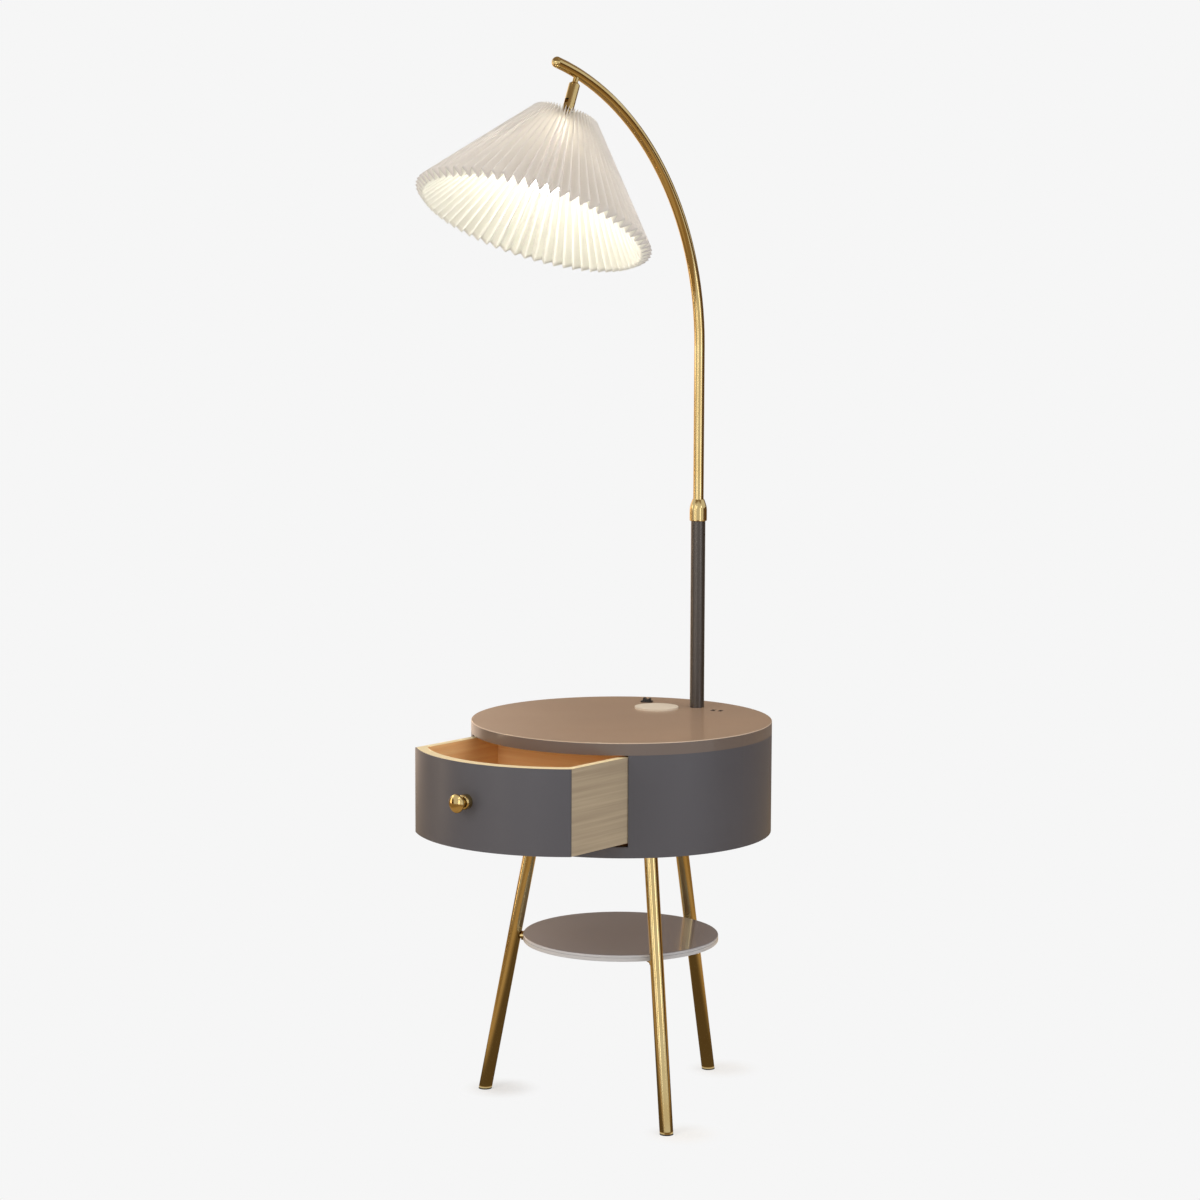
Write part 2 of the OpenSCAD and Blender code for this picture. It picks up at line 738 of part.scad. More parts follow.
module power_supply() color(black) placed() translate([supply_x, bay_y + bay_t + supply_l, floor_z])
  difference() {
    rounded_block(supply_w, supply_l, supply_h, supply_edge - 1);
    // Cooling grooves across the lid
    for (x = [supply_edge - supply_w / 2 + rib_w : 2 * rib_w : supply_w / 2 - supply_edge - rib_w])
      translate([x, supply_edge - supply_l / 2, supply_h - 1])
        cube([rib_w, supply_l - 2 * supply_edge, 1 + over]);
  }

grommet_at = [-70, 165];
grommet_r = 8;
grommet_in_r = 4.5;
grommet_lip_r = 11;
grommet_lip = 2;

module cable_grommet() color(rubber) placed() translate([grommet_at[0], grommet_at[1], drum_z])
  rotate_extrude() polygon([
    [grommet_in_r, -grommet_lip], [grommet_lip_r, -grommet_lip], [grommet_lip_r, 0],
    [grommet_r - seat, 0], [grommet_r - seat, floor_t],
    [grommet_lip_r, floor_t], [grommet_lip_r, floor_t + grommet_lip],
    [grommet_in_r, floor_t + grommet_lip]
  ]);

// Pole

module sleeve_tube() color(graphite) at_pole() difference() {
  union() {
    translate([0, 0, floor_z + socket_base_t])
      cylinder(r = sleeve_r, h = sleeve_top - floor_z - socket_base_t);
    translate([0, 0, sleeve_top]) cylinder(r = thread_r, h = thread_l);
  }
  translate([0, 0, floor_z]) cylinder(r = bore_r, h = sleeve_top + thread_l);
}

module pole_socket() color(graphite) at_pole() translate([0, 0, floor_z]) difference() {
  union() {
    cylinder(r = socket_base_r, h = socket_base_t);
    cylinder(r = socket_r, h = socket_h);
  }
  translate([0, 0, socket_base_t]) cylinder(r = sleeve_r + seat, h = socket_h);
  socket_holes() shank_hole(socket_base_t);
}

module socket_screws() color(steel) at_pole() translate([0, 0, floor_z + socket_base_t])
  socket_holes() mirror([0, 0, 1]) wood_screw();

slit = 1.2;

// Split collet on the thread's end: the nut's cone squeezes it on to the brass tube
module clamp_collet() color(black) at_pole() translate([0, 0, sleeve_top + thread_l]) difference() {
  union() {
    cylinder(r1 = thread_r, r2 = bore_r, h = collet_h);
    translate([0, 0, -collet_l]) cylinder(r = bore_r - seat, h = collet_l);
  }
  translate([0, 0, -collet_l - over])
    cylinder(r = arc_tube_r + run, h = collet_h + collet_l + 2 * over);
  for (a = [45, 135]) rotate([0, 0, a]) translate([-sleeve_r, -slit / 2, 2])
    cube([sleeve_d, slit, collet_h]);
}

// The nut's shoulder starts half way up and runs in to the tube; its grips are shallow flutes
nut_lip = 1;
nut_edge = 0.8;
shoulder_l = nut_h * 0.55;
flute_r = 9;
flute_deep = 0.7;

module clamp_nut() color(brass) at_pole() translate([0, 0, sleeve_top]) difference() {
  rotate_extrude() polygon(concat(
    [[0, slack], [nut_r - nut_edge, slack]],
    [[nut_r, slack + 2 * nut_edge], [nut_r, nut_h - shoulder_l]],
    [for (f = [0.9 : -0.1 : 0])
      [arc_tube_r + nut_lip + (nut_r - arc_tube_r - nut_lip) * sin(90 * f), nut_h - shoulder_l * f]],
    [[0, nut_h]]
  ));
  cylinder(r = thread_r + run, h = thread_l + slack);
  translate([0, 0, thread_l]) cylinder(r1 = thread_r + slack, r2 = bore_r + slack, h = collet_h);
  cylinder(r = arc_tube_r + slack, h = nut_h + over);
  for (a = [0 : 36 : 324]) rotate([0, 0, a]) translate([nut_r + flute_r - flute_deep, 0, 0])
    cylinder(r = flute_r, h = nut_h + over, $fn = 48);
}

module guide_bush() color(black) at_pole() translate([0, 0, sleeve_top - arc_sunk]) difference() {
  cylinder(r = bore_r - run, h = bush_h);
  translate([0, 0, bush_lip]) cylinder(r = arc_tube_r + run, h = bush_h);
  translate([0, 0, -over]) cylinder(r = arc_in_r - 1, h = bush_h);
}

// Arc

module on_arc() translate([0, -arc_r, arc_start]) rotate([90, 0, 90]) children();

module arc_tube() color(brass) difference() {
  on_arm() {
    translate([0, 0, sleeve_top - arc_sunk + bush_lip])
      tube(arc_tube_r, arc_in_r, arc_start - sleeve_top + arc_sunk - bush_lip);
    on_arc() rotate_extrude(angle = arc_angle, $fn = 180) translate([arc_r, 0]) difference() {
      circle(r = arc_tube_r, $fn = 64);
      circle(r = arc_in_r, $fn = 64);
    }
  }
  on_stem() translate([0, 0, neck_z + neck_l / 2])
    cylinder(r = neck_r + run, h = pivot_drop - neck_z - neck_l / 2);
}

// A rounded end, with a plug in the tube
end_l = 7;
end_plug = 6;

module arc_end_cap() color(brass) on_arm() on_arc() rotate([0, 0, arc_angle]) translate([arc_r, 0, 0])
  rotate([-90, 0, 0]) {
    rotate_extrude() polygon(concat(
      [[0, 0]],
      [for (a = [0 : 10 : 90]) [arc_tube_r * cos(a), end_l * sin(a)]]
    ));
    translate([0, 0, -end_plug]) cylinder(r = arc_in_r - 2 * seat, h = end_plug);
  }

module stem_fork() color(brass) on_stem() difference() {
  union() {
    cylinder(r = fork_r, h = neck_z);
    translate([0, 0, neck_z]) cylinder(r1 = fork_r, r2 = fork_r - shoulder_cut, h = shoulder_cut);
    cylinder(r = neck_r, h = pivot_drop - arc_in_r - 2 * seat);
    intersection() {
      translate([0, 0, -fork_r]) cylinder(r = fork_r, h = fork_r);
      rotate([0, 90, 0]) translate([0, 0, -fork_r]) cylinder(r = fork_r, h = fork_d);
    }
  }
  translate([-slot_w / 2, -fork_r - over, -fork_r - over])
    cube([slot_w, fork_d + 2 * over, fork_r + tongue_r + tongue_gap + over]);
  rotate([0, 90, 0])
    cylinder(r = pin_hole_r + run, h = fork_d + 2 * over, center = true, $fn = 48);
}

// The pin ends just inside the fork's round sides
module pivot_pin() color(brass) on_stem() rotate([0, 90, 0])
  cylinder(r = pin_hole_r, h = fork_d - 0.8, center = true, $fn = 48);

// Head: everything that tilts with the shade

module knuckle_eye() color(brass) on_head() difference() {
  union() {
    rotate([0, 90, 0]) cylinder(r = tongue_r, h = tongue_t, center = true);
    translate([-tongue_t / 2, -tongue_r, -collar_top - over])
      cube([tongue_t, 2 * tongue_r, collar_top + over]);
    translate([0, 0, -collar_low]) cylinder(r = fork_r, h = collar_low - collar_top);
    translate([0, 0, -holder_top + slack]) cylinder(r = stub_r, h = holder_top - collar_low);
  }
  rotate([0, 90, 0]) cylinder(r = pin_hole_r + run, h = fork_d, center = true, $fn = 48);
}

module holder_cap() color(brass) on_head() rotate_extrude() {
  drop = cap_low - collar_low;
  translate([0, -cap_low]) polygon(concat(
    [[cap_r, 0]],
    corner(cap_r - cap_edge, drop - cap_edge, cap_edge, 0, 90),
    [[stub_r + run, drop], [stub_r + run, drop - cap_wall]],
    corner(cap_r - cap_edge, drop - cap_edge, cap_edge - cap_wall, 90, 0),
    [[cap_r - cap_wall, 0]]
  ));
}

module holder_nut() color(steel) on_head() translate([0, 0, -collar_low - cap_wall - lock_nut_h])
  difference() {
    cylinder(r = lock_nut_r, h = lock_nut_h - seat, $fn = 6);
    translate([0, 0, -over]) cylinder(r = stub_r + run, h = lock_nut_h + 2 * over, $fn = 48);
  }

module lamp_holder() color(ivory) on_head() translate([0, 0, -holder_low]) difference() {
  cylinder(r = holder_r, h = holder_low - holder_top);
  translate([0, 0, -over]) cylinder(r = bulb_base_r + slack, h = bulb_base_l + over);
}

// A screw cap: a thin cup, closed at its contact
module bulb_base() color(steel) on_head() translate([0, 0, -holder_low - bulb_out]) difference() {
  cylinder(r = bulb_base_r, h = bulb_base_l);
  translate([0, 0, -over])
    cylinder(r = bulb_base_r - bulb_wall, h = bulb_base_l - bulb_wall + over);
}

// The glass, open at its neck
module bulb_globe() color(opal) on_head() translate([0, 0, -holder_low - bulb_out]) rotate_extrude()
  polygon(concat(globe_line(0), reversed(globe_line(bulb_wall))));

function reversed(line) = [for (i = [len(line) - 1 : -1 : 0]) line[i]];

// The globe's outline, moved inwards by t, from its neck to its lowest point
function globe_line(t) = let (lean = 90 - acos((bulb_r - bulb_base_r) / bulb_drop)) concat(
  [[bulb_base_r - t, 0]],
  [for (a = [lean : -6 : -89]) [(bulb_r - t) * cos(a), -bulb_drop + (bulb_r - t) * sin(a)]],
  [[0, -bulb_drop - bulb_r + t]]
);

// The shade. Fraction f runs from the top edge to the rim; the panels keep their width, so the
// inner folds lie deeper across the slant where the pitch is small, and end below the outer folds.

function ridge(f) = [crown_r + (rim_r - crown_r) * f, -crown_drop - shade_h * f];
function depth(f) = sqrt(pow(pleat_w, 2) - pow(PI * ridge(f)[0] / pleats, 2));
function skin(f) = skin_top + (skin_rim - skin_top) * f;
// A point on the slant line at f, moved inwards across the slant by d
function inwards(f, d) = ridge(f) - d * [slant_z, slant_r];
function around(p, a) = [p[0] * cos(a), p[0] * sin(a), p[1]];
function mod(i, n) = i - n * floor(i / n);

// Two triangles for four corners seen anticlockwise from outside, split from a to c or from b to d
function quad(a, b, c, d, turned) = turned ? [[d, b, a], [d, c, b]] : [[c, b, a], [d, c, a]];
function fold(ring, i) = 2 * pleats * ring + mod(i, 2 * pleats);
function panel(i, low, high, turned) =
  quad(fold(low, i), fold(low, i + 1), fold(high, i + 1), fold(high, i), turned);

// Each panel is a little twisted, so it is made in rows from top to rim. Both faces of the skin
// are split from the outer fold at the row's foot to the inner fold at its head, so the skin keeps
// its thickness. The outer rings of points come first, from top to rim, then the inner ones.
shade_rows = 4;
lining = shade_rows + 1;
module pleated_shade() color(cloth) on_head() polyhedron(
  points = [for (inner = [0, 1], row = [0 : shade_rows], i = [0 : 2 * pleats - 1])
    let (f = row / shade_rows)
    around(inwards(f, (i % 2 == 0 ? 0 : depth(f)) + inner * skin(f)), 180 / pleats * i)],
  faces = [for (i = [0 : 2 * pleats - 1]) each concat(
    [for (row = [0 : shade_rows - 1]) each panel(i, row + 1, row, i % 2 == 1)],
    [for (row = [0 : shade_rows - 1]) each panel(i, lining + row, lining + row + 1, i % 2 == 0)],
    panel(i, 0, lining, false),
    panel(i, lining + shade_rows, shade_rows, false)
  )]
);

// The carrier's cone stands just inside the inner folds
carrier_r = inwards(0, depth(0) + skin_top)[0] - slack;
carrier_z = -inwards(0, depth(0) + skin_top)[1];
carrier_h = 11;
carrier_t = 2;
arm_w = 8;

module shade_carrier() color(ivory) on_head() {
  top = carrier_z + 1;
  low = cap_low + seat + hub_t;
  grow = slant_r / slant_z;
  rib_r = carrier_r - carrier_t - 1;
  // Cone with a rib inside its upper edge
  rotate_extrude() polygon([
    [carrier_r, -top], [carrier_r + grow * carrier_h, -top - carrier_h],
    [carrier_r + grow * carrier_h - carrier_t, -top - carrier_h],
    [carrier_r + grow * (low - top) - carrier_t, -low], [rib_r, -low], [rib_r, -top]
  ]);
  translate([0, 0, -low]) {
    tube(hub_r, holder_r + run, hub_t);
    for (a = [30 : 120 : 270]) rotate([0, 0, a]) translate([hub_r - 1, -arm_w / 2, 0])
      cube([rib_r - hub_r + 2, arm_w, low - top]);
  }
}

// Grip flutes round the ring nut
module shade_nut() color(ivory) on_head() translate([0, 0, -cap_low - 2 * seat - hub_t - nut_ring_h])
  difference() {
    tube(hub_r + 1, holder_r + run, nut_ring_h);
    for (a = [0 : 30 : 330]) rotate([0, 0, a]) translate([hub_r + 2, 0, -over])
      cylinder(r = 2.2, h = nut_ring_h + 2 * over, $fn = 24);
  }

table_top();
drum_wall();
drum_floor();
bay_side_left();
bay_side_right();
bay_back();
top_dowels();
runner_left();
runner_right();
runner_screws();
leg_back();
leg_front_left();
leg_front_right();
leg_plate_back();
leg_plate_front_left();
leg_plate_front_right();
leg_screws();
foot_back();
foot_front_left();
foot_front_right();
shelf();
shelf_pins();
charger_housing();
charger_pad();
charger_coil();
port_block();
port_tongues();
switch_bezel();
switch_rocker();
power_supply();
cable_grommet();
sleeve_tube();
pole_socket();
socket_screws();
clamp_collet();
clamp_nut();
guide_bush();
arc_tube();
arc_end_cap();
stem_fork();
pivot_pin();
knuckle_eye();
holder_cap();
holder_nut();
lamp_holder();
bulb_base();
bulb_globe();
shade_carrier();
shade_nut();
pleated_shade();
drawer_front();
drawer_facing();
drawer_side_left();
drawer_side_right();
drawer_back();
drawer_bottom();
drawer_rail_left();
drawer_rail_right();
knob();
knob_screw();
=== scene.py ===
import json
import math
import random

import bmesh
import bpy
from mathutils import Matrix, Vector


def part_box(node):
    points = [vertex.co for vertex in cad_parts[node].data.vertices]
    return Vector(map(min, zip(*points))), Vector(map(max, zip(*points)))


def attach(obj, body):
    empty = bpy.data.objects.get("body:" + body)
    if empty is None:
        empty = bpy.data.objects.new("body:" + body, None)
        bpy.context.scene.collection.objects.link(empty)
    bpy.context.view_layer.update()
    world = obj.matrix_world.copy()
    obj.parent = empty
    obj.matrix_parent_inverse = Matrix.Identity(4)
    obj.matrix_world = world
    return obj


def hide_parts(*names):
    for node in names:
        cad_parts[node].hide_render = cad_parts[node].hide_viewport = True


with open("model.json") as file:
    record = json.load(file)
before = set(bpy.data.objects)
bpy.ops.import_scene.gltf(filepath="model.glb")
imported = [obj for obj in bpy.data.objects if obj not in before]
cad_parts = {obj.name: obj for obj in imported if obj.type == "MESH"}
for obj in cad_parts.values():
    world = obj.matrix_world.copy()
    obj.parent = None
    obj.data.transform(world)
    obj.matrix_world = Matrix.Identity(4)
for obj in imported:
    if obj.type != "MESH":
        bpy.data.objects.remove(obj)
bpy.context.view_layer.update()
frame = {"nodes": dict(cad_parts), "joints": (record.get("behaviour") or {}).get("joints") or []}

nodes = frame["nodes"]
joints = {joint["name"]: joint for joint in frame["joints"]}


# Camera
# A long lens, a little above the table's height, from the front right of the drawer.
# It looks at a point beside the pole, and is rolled by a fifth of a degree.
PHOTO_SIDE = 1200
FOCAL_PIXELS = 3075.6
SENSOR_MM = 36.0
AZIMUTH, PITCH, ROLL = math.radians(38.55), math.radians(6.755), math.radians(0.2)
DISTANCE = 4.58416
AIM_RIGHT, AIM_HEIGHT = -0.0329, 0.75871

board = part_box("table_top")
middle = Vector(((board[0][0] + board[1][0]) / 2, (board[0][1] + board[1][1]) / 2, 0))
forward = Vector((
    -math.sin(AZIMUTH) * math.cos(PITCH), math.cos(AZIMUTH) * math.cos(PITCH), -math.sin(PITCH)))
level_right = Vector((math.cos(AZIMUTH), math.sin(AZIMUTH), 0))
level_up = level_right.cross(forward)
aim = middle + Vector((0, 0, AIM_HEIGHT)) + level_right * AIM_RIGHT
right = level_right * math.cos(ROLL) + level_up * math.sin(ROLL)
up = level_up * math.cos(ROLL) - level_right * math.sin(ROLL)

lens = bpy.data.cameras.new("camera")
lens.sensor_width = SENSOR_MM
lens.lens = SENSOR_MM * FOCAL_PIXELS / PHOTO_SIDE
lens.clip_start, lens.clip_end = 0.1, 60
camera = bpy.data.objects.new("camera", lens)
turned = Matrix((right, up, -forward)).transposed().to_4x4()
camera.matrix_world = Matrix.Translation(aim - forward * DISTANCE) @ turned
bpy.context.scene.collection.objects.link(camera)
scene = bpy.context.scene
scene.camera = camera
scene.view_settings.view_transform = "Standard"


# Studio
# White paper under and behind the lamp, glowing evenly for the camera. Its rendered shading shows
# only in a painted spot beside each foot, shifted to where that foot's shadow falls, so a short smear
# of shadow is left there. Soft boxes stand around and overhead. Warm cards, seen only in gloss, give
# the brass and the lacquer something to mirror.
PAPER = "#f6f6f6"
FLOOR_SIDE = 30.0
FLOOR_LIT = 0.88
LIGHTS_AIM = 0.8
ROOM_WHITE, ROOM_LIGHT = "#fdfaf6", 0.5
SHADOW_SHARE, SHADOW_SHIFT = 0.5, 0.025
SHADOW_NEAR, SHADOW_FAR = 0.01, 0.065


def linear(colour):
    """A hex sRGB colour as linear red, green, blue and an alpha of 1."""
    parts = [int(colour[i:i + 2], 16) / 255 for i in (1, 3, 5)]
    return [p / 12.92 if p <= 0.04045 else ((p + 0.055) / 1.055) ** 2.4 for p in parts] + [1.0]


def add(tree, kind, links=None, **settings):
    """Adds a node, sets its attributes, and fills its sockets with values or with other sockets."""
    node = tree.nodes.new(kind)
    for name, value in settings.items():
        setattr(node, name, value)
    for socket, value in (links or {}).items():
        if isinstance(value, bpy.types.NodeSocket):
            tree.links.new(value, node.inputs[socket])
        else:
            node.inputs[socket].default_value = value
    return node


def ranged(tree, value, low, high, start=0.0, end=1.0, kind="LINEAR"):
    """Turns a value's range from low to high into one from start to end."""
    return add(tree, "ShaderNodeMapRange", {
        "Value": value, "From Min": low, "From Max": high, "To Min": start, "To Max": end},
        interpolation_type=kind).outputs[0]


def blank_material(name):
    """A new material with no nodes in it, and its tree."""
    material = bpy.data.materials.new(name)
    material.use_nodes = True
    material.node_tree.nodes.clear()
    return material, material.node_tree


def seen_ray(tree):
    """1 for a ray that a camera, a mirror or clear glass sends, and 0 for the rest."""
    path = add(tree, "ShaderNodeLightPath")
    mirror = add(tree, "ShaderNodeMath", {
        0: path.outputs["Is Camera Ray"], 1: path.outputs["Is Glossy Ray"]}, operation="MAXIMUM")
    return add(tree, "ShaderNodeMath", {
        0: mirror.outputs[0], 1: path.outputs["Is Transmission Ray"]}, operation="MAXIMUM").outputs[0]


world = bpy.data.worlds.new("studio")
scene.world = world
world.use_nodes = True
world.node_tree.nodes.clear()
room = world.node_tree
lit = add(room, "ShaderNodeBackground", {"Color": linear(ROOM_WHITE), "Strength": ROOM_LIGHT})
paper = add(room, "ShaderNodeBackground", {"Color": linear(PAPER), "Strength": 1.0})
both = add(room, "ShaderNodeMixShader", {0: seen_ray(room), 1: lit.outputs[0], 2: paper.outputs[0]})
add(room, "ShaderNodeOutputWorld", {"Surface": both.outputs[0]})

floor_paper, tree = blank_material("matt paper floor")
shaded = add(tree, "ShaderNodeBsdfDiffuse", {"Color": linear(PAPER)})
on_floor = add(tree, "ShaderNodeTexCoord").outputs["Object"]
smear = 0.0
# Painted shadow spots: the floor's rendered shade shows only within these spots beside the feet.
for foot in ("foot_back", "foot_front_left", "foot_front_right"):
    low, high = (Vector(corner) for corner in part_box(foot))
    spot = (low + high) / 2 - middle + level_right * SHADOW_SHIFT
    spot.z = 0
    away = add(tree, "ShaderNodeVectorMath", {0: on_floor, 1: spot}, operation="DISTANCE").outputs["Value"]
    share = ranged(tree, away, SHADOW_NEAR, SHADOW_FAR, SHADOW_SHARE, 0.0, "SMOOTHSTEP")
    smear = add(tree, "ShaderNodeMath", {0: smear, 1: share}, operation="MAXIMUM").outputs[0]
under_shadow = add(tree, "ShaderNodeMixShader", {0: smear, 2: shaded.outputs[0]})
paper_light = add(tree, "ShaderNodeEmission", {
    "Color": linear(PAPER), "Strength": ranged(tree, smear, 0, 1, 1, 1 - FLOOR_LIT)})
seen = add(tree, "ShaderNodeAddShader", {0: under_shadow.outputs[0], 1: paper_light.outputs[0]})
floor_mix = add(tree, "ShaderNodeMixShader", {0: seen_ray(tree), 1: shaded.outputs[0], 2: seen.outputs[0]})
add(tree, "ShaderNodeOutputMaterial", {"Surface": floor_mix.outputs[0]})

bpy.ops.mesh.primitive_plane_add(size=FLOOR_SIDE, location=middle)
floor = bpy.context.object
floor.name = "floor"
floor.data.materials.append(floor_paper)


def place_facing(obj, across, ahead, height):
    """Puts a light or card beside the object, in the camera's own directions, turned towards it."""
    front = Vector((-forward.x, -forward.y, 0)).normalized()
    where = middle + level_right * across + front * ahead + Vector((0, 0, height))
    target = middle + Vector((0, 0, LIGHTS_AIM))
    obj.location = where
    obj.rotation_euler = (target - where).to_track_quat("-Z", "Y").to_euler()


SOFT_BOXES = [
    # name, across, ahead, height, width, length, watts, colour
    ("left strip", -2.1, 1.95, 1.25, 0.3, 2.4, 6, "#fff6ea"),
    ("front strip", -1.2, 2.75, 1.3, 0.3, 2.2, 7, "#fbf8f4"),
    ("left fill", -2.2, 2.1, 1.9, 1.2, 1.6, 18, "#fff7ee"),
    ("right box", 2.2, 2.2, 1.3, 0.5, 1.8, 9, "#f4f6ff"),
    ("top box", 0.9, 0.4, 3.3, 1.8, 1.8, 34, "#fffaf2"),
    ("edge box", -2.6, -0.4, 0.9, 0.4, 1.6, 8, "#ffe2bd"),
]
for name, across, ahead, height, wide, long, watts, colour in SOFT_BOXES:
    light = bpy.data.lights.new(name, "AREA")
    light.shape = "RECTANGLE"
    light.size, light.size_y = wide, long
    light.energy = watts
    light.color = linear(colour)[:3]
    box = bpy.data.objects.new(name, light)
    scene.collection.objects.link(box)
    place_facing(box, across, ahead, height)
    box.visible_glossy = name != "left fill"


def object_axis(tree, axis):
    """One of the object's own coordinates, in metres."""
    where = add(tree, "ShaderNodeTexCoord").outputs["Object"]
    return add(tree, "ShaderNodeSeparateXYZ", {0: where}).outputs[axis]


CARDS = [
    # name, across, ahead, height, width, length, tilt, turn, colour
    ("floor card", 0.0, 0.0, 0.004, 6.4, 6.4, 0, 0, "#a5875c"),
    ("near card", 0.0, 0.0, 0.005, 2.6, 2.6, 0, 0, "#c9ab7e"),
    ("wall card", 0.0, -2.4, 1.25, 8.0, 2.5, 90, 0, "#8d7c6e"),
    ("left card", -3.2, -0.9, 0.45, 3.0, 0.9, 90, 90, "#634a2a"),
    ("right card", 3.2, -0.6, 0.7, 3.4, 1.4, 90, 90, "#6b5030"),
    ("ceiling card", 0.0, 0.0, 2.8, 5.0, 5.0, 0, 0, "#a08c74"),
]
# The near card darkens to its middle, a painted shade under the table for the lower ends of the legs
# to mirror. The wall card brightens to the left, for the glow across the left of the top. Both are
# measured in shares of the card's side.
NEAR_CORE, NEAR_RIM, NEAR_DIM = 0.1, 0.35, 0.25
GLOW_FULL, GLOW_NONE, WALL_GLOW = -0.12, 0.0, 6.0
for name, across, ahead, height, wide, long, lean, turn, colour in CARDS:
    card_paper, tree = blank_material("matt " + name)
    strength = 1.0
    if name == "near card":
        centre = add(tree, "ShaderNodeTexCoord").outputs["Object"]
        reach = add(tree, "ShaderNodeVectorMath", {0: centre}, operation="LENGTH").outputs["Value"]
        strength = ranged(tree, reach, NEAR_CORE, NEAR_RIM, NEAR_DIM, 1.0, "SMOOTHSTEP")
    if name == "wall card":
        strength = ranged(tree, object_axis(tree, "X"), GLOW_FULL, GLOW_NONE, WALL_GLOW, 1.0, "SMOOTHSTEP")
    add(tree, "ShaderNodeOutputMaterial", {"Surface": add(
        tree, "ShaderNodeEmission", {"Color": linear(colour), "Strength": strength}).outputs[0]})
    bpy.ops.mesh.primitive_plane_add(size=1)
    card = bpy.context.object
    card.name = name
    card.scale = (wide, long, 1)
    place_facing(card, across, ahead, height)
    card.rotation_euler = (math.radians(lean), 0, AZIMUTH + math.radians(turn))
    card.data.materials.append(card_paper)
    for ray in ("camera", "diffuse", "shadow", "transmission", "volume_scatter"):
        setattr(card, "visible_" + ray, False)


# Drum and drawer facing
# Bent plywood, filled and sprayed in a dark grey satin lacquer. The eye gets soft wide highlights,
# broken a little by the spray gun's orange peel and by a slow cloudiness in the coat.
DRUM_GREY = "#53535a"
CLOUD_DARKER = 0.93
SATIN_LOW, SATIN_HIGH = 0.33, 0.4
PEEL_MM, PEEL_DEPTH_MM = 2.5, 0.012
CLOUD_MM = 180.0


def finish(name, slot_nodes):
    """A material with one principled shader, given to CAD nodes. Returns its tree and shader."""
    material, tree = blank_material(name)
    shader = add(tree, "ShaderNodeBsdfPrincipled")
    add(tree, "ShaderNodeOutputMaterial", {"Surface": shader.outputs[0]})
    for node in slot_nodes:
        nodes[node].data.materials.clear()
        nodes[node].data.materials.append(material)
    return tree, shader


def put(tree, node, **values):
    """Sets sockets of a node by name, with spaces written as underscores."""
    for name, value in values.items():
        socket = node.inputs[name.replace("_", " ")]
        if isinstance(value, bpy.types.NodeSocket):
            tree.links.new(value, socket)
        else:
            socket.default_value = value


def place_in_mm(tree, *sizes):
    """Object coordinates counted in features of the given sizes in millimetres along X, Y and Z."""
    where = add(tree, "ShaderNodeTexCoord")
    return add(tree, "ShaderNodeMapping", {
        "Vector": where.outputs["Object"], "Scale": [1000 / s for s in sizes]}).outputs[0]


def noise(tree, sizes, detail=2.0, rough=0.5):
    """A noise from 0 to 1 whose features have the given sizes in millimetres."""
    return add(tree, "ShaderNodeTexNoise", {
        "Vector": place_in_mm(tree, *sizes), "Scale": 1.0,
        "Detail": detail, "Roughness": rough}).outputs["Fac"]


def mixed(tree, share, one, two):
    """Mixes two colours, each a hex string or a socket."""
    ends = [linear(c) if isinstance(c, str) else c for c in (one, two)]
    return add(tree, "ShaderNodeMix", {0: share, 6: ends[0], 7: ends[1]}, data_type="RGBA").outputs[2]


def upward(tree, low, high):
    """1 where the surface looks up, 0 where it stands upright."""
    normal = add(tree, "ShaderNodeNewGeometry").outputs["Normal"]
    return ranged(tree, add(tree, "ShaderNodeSeparateXYZ", {0: normal}).outputs["Z"], low, high)


def bump(tree, height, depth_mm, strength=1.0):
    """A bump as deep as the given millimetres, from a height of 0 to 1."""
    return add(tree, "ShaderNodeBump", {
        "Height": height, "Distance": depth_mm / 1000, "Strength": strength}).outputs[0]


def spray_lacquer(tree, shader, colour):
    """Satin lacquer: a slow cloudiness in the colour and gloss, and the peel in the bump."""
    cloud = noise(tree, [CLOUD_MM] * 3)
    peel = noise(tree, [PEEL_MM] * 3, detail=1)
    deeper = add(tree, "ShaderNodeHueSaturation", {"Value": CLOUD_DARKER, "Color": colour}).outputs[0]
    put(tree, shader,
        Base_Color=mixed(tree, cloud, deeper, colour),
        Roughness=ranged(tree, cloud, 0.3, 0.7, SATIN_LOW, SATIN_HIGH),
        Normal=bump(tree, peel, PEEL_DEPTH_MM))


tree, shader = finish("sprayed lacquer, dark grey", ["drum_wall", "drawer_facing"])
spray_lacquer(tree, shader, linear(DRUM_GREY))


# Top board
# A round board with a softened rim, sprayed like the wall but in a warm taupe and polished up. The
# upward face is painted lighter and warmer than the rim, as painted lamp light on the taupe, and the
# rounded edge carries a fine pale painted highlight all round.
TOP_LAMPLIT_TAUPE, TOP_LAMPLIT_CLOUD = "#ae8f74", "#9a806b"
RIM_TAUPE, RIM_PAINTED_HIGHLIGHT = "#6e625c", "#c9b49f"
TOP_CLOUD_MM = 260
tree, shader = finish("sprayed lacquer, taupe top", ["table_top"])
# Painted lamp light: the face that looks up gets a lighter, warmer taupe than the rim.
lamplit_face_colour = mixed(tree, noise(tree, [TOP_CLOUD_MM] * 3), TOP_LAMPLIT_CLOUD, TOP_LAMPLIT_TAUPE)
# Painted highlight: a pale line where the rounded edge turns up.
rim_with_highlight = mixed(tree, upward(tree, 0.15, 0.35), RIM_TAUPE, RIM_PAINTED_HIGHLIGHT)
spray_lacquer(tree, shader, mixed(tree, upward(tree, 0.85, 0.97), rim_with_highlight, lamplit_face_colour))
put(tree, shader, Coat_Weight=0.4, Coat_Roughness=0.12)


